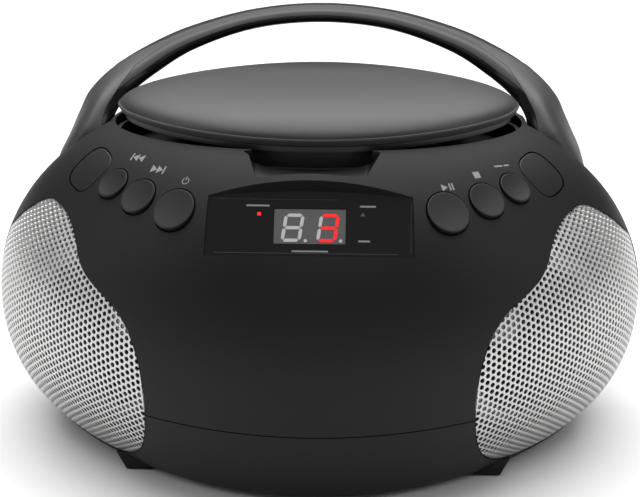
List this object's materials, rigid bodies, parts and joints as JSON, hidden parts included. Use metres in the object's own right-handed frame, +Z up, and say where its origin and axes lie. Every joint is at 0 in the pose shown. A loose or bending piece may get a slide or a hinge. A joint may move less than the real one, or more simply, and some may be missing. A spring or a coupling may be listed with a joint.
{
  "type": "boombox",
  "caption": "Compact top-loading disc boombox with an egg-shaped black shell, perforated metal speaker grilles, lift-up disc lid, display window, keys and a folding arched carry handle.",
  "frame": {"origin": "centre of the bounding box's bottom face, on the surface the feet stand on", "axes": "+X along the width towards the viewer's right, +Y towards the rear, +Z up; the keys, window and grilles face -Y"},
  "size_m": [0.3038, 0.2318, 0.1912],
  "materials": {
    "shell_plastic": "fine grained black",
    "lid_plastic": "satin black",
    "inner_plastic": "plain black",
    "deck_plastic": "fine grained black",
    "key_plastic": "fine grained black",
    "handle_plastic": "satin black",
    "handle_gloss": "polished black",
    "window_gloss": "polished smoked black",
    "module_plastic": "plain grey",
    "digit_glow": "lit and unlit bars",
    "light_red": "lit lens",
    "light_off": "unlit lens",
    "grille_metal": "silver paint on perforated sheet",
    "board": "green laminate",
    "motor_metal": "drawn steel can",
    "chassis_metal": "pressed steel",
    "turntable_metal": "turned",
    "steel": "ground steel",
    "rubber": "moulded",
    "lens_glass": "clear lens",
    "gear_plastic": "natural acetal",
    "cone_paper": "black pressed paper",
    "dust_cap_metal": "bright domed foil",
    "magnet": "ferrite ring",
    "transformer_iron": "stacked core and winding",
    "contact_metal": "plated spring steel",
    "screw_metal": "blackened steel"
  },
  "bodies": {
    "housing": {"front_shell": "shell_plastic", "rear_shell": "shell_plastic", "base_shell": "shell_plastic", "lid_hinge_pins": "steel", "deck_tray": "deck_plastic", "spindle_motor": "motor_metal", "mech_chassis": "chassis_metal", "chassis_dampers": "rubber", "guide_rods": "steel", "sled_motor": "motor_metal", "pivot_pins": "steel", "display_window": "window_gloss", "display_module": "module_plastic", "display_digits": "digit_glow", "display_board": "board", "power_light": "light_red", "mode_light": "light_off", "key_board_left": "board", "key_board_right": "board", "grille_left": "grille_metal", "grille_right": "grille_metal", "baffle_left": "inner_plastic", "baffle_right": "inner_plastic", "basket_left": "chassis_metal", "basket_right": "chassis_metal", "cone_left": "cone_paper", "cone_right": "cone_paper", "dust_cap_left": "dust_cap_metal", "dust_cap_right": "dust_cap_metal", "magnet_left": "magnet", "magnet_right": "magnet", "main_board": "board", "transformer": "transformer_iron", "battery_box": "inner_plastic", "battery_contacts": "contact_metal", "ac_inlet": "inner_plastic", "feet": "rubber", "case_screws": "screw_metal"},
    "lid_body": {"lid": "lid_plastic", "lid_liner": "inner_plastic", "disc_clamp": "inner_plastic"},
    "handle_body": {"handle": "handle_plastic", "handle_trim": "handle_gloss", "handle_bushes": "gear_plastic"},
    "turntable_body": {"turntable": "turntable_metal"},
    "sled_body": {"pickup_sled": "inner_plastic", "pickup_lens": "lens_glass"},
    "sled_gear_body": {"sled_gear": "gear_plastic"},
    "battery_door_body": {"battery_door": "shell_plastic"},
    "key_volume_down_body": {"key_volume_down": "key_plastic"},
    "key_volume_up_body": {"key_volume_up": "key_plastic"},
    "key_previous_body": {"key_previous": "key_plastic"},
    "key_next_body": {"key_next": "key_plastic"},
    "key_power_body": {"key_power": "key_plastic"},
    "key_play_body": {"key_play": "key_plastic"},
    "key_stop_body": {"key_stop": "key_plastic"},
    "key_program_body": {"key_program": "key_plastic"}
  },
  "joints": [
    {"name": "key_power_press", "type": "slide", "parent": "housing", "child": "key_power_body", "axis": [0.3422, 0.6055, -0.7185], "range_m": [0, 0.0014], "stiffness_N_per_m": 350, "springref_m": -0.0008},
    {"name": "key_next_press", "type": "slide", "parent": "housing", "child": "key_next_body", "axis": [0.4029, 0.5331, -0.744], "range_m": [0, 0.0014], "stiffness_N_per_m": 350, "springref_m": -0.0008},
    {"name": "key_previous_press", "type": "slide", "parent": "housing", "child": "key_previous_body", "axis": [0.4376, 0.464, -0.7702], "range_m": [0, 0.0014], "stiffness_N_per_m": 350, "springref_m": -0.0008},
    {"name": "key_play_press", "type": "slide", "parent": "housing", "child": "key_play_body", "axis": [-0.3422, 0.6055, -0.7185], "range_m": [0, 0.0014], "stiffness_N_per_m": 350, "springref_m": -0.0008},
    {"name": "key_stop_press", "type": "slide", "parent": "housing", "child": "key_stop_body", "axis": [-0.4029, 0.5331, -0.744], "range_m": [0, 0.0014], "stiffness_N_per_m": 350, "springref_m": -0.0008},
    {"name": "key_program_press", "type": "slide", "parent": "housing", "child": "key_program_body", "axis": [-0.4376, 0.464, -0.7702], "range_m": [0, 0.0014], "stiffness_N_per_m": 350, "springref_m": -0.0008},
    {"name": "key_volume_down_press", "type": "slide", "parent": "housing", "child": "key_volume_down_body", "axis": [0.5286, 0.4101, -0.7432], "range_m": [0, 0.0014], "stiffness_N_per_m": 350, "springref_m": -0.0008},
    {"name": "key_volume_up_press", "type": "slide", "parent": "housing", "child": "key_volume_up_body", "axis": [-0.5286, 0.4101, -0.7432], "range_m": [0, 0.0014], "stiffness_N_per_m": 350, "springref_m": -0.0008},
    {"name": "lid_hinge", "type": "hinge", "parent": "housing", "child": "lid_body", "pos_m": [0, 0.05181, 0.14928], "axis": [-1, 0, 0], "range_deg": [0, 28]},
    {"name": "handle_fold", "type": "hinge", "parent": "housing", "child": "handle_body", "pos_m": [0, 0.03, 0.122], "axis": [-1, 0, 0], "range_deg": [0, 36]},
    {"name": "turntable_spin", "type": "hinge", "parent": "housing", "child": "turntable_body", "pos_m": [0, 0, 0.13398], "axis": [0, 0, 1], "continuous": true},
    {"name": "sled_slide", "type": "slide", "parent": "housing", "child": "sled_body", "axis": [1, 0, 0], "range_m": [0, 0.03]},
    {"name": "sled_gear_spin", "type": "hinge", "parent": "housing", "child": "sled_gear_body", "pos_m": [0.042, -0.03, 0.11678], "axis": [0, 0, 1], "range_deg": [-191.5, 0]},
    {"name": "battery_door_tilt", "type": "hinge", "parent": "housing", "child": "battery_door_body", "pos_m": [0, 0.11445, 0.0455], "axis": [-1, 0, 0], "range_deg": [0, 80]}
  ],
  "couplings": [
    {"joint": "sled_gear_spin", "follows": "sled_slide", "rad_per_m": -111.11}
  ]
}
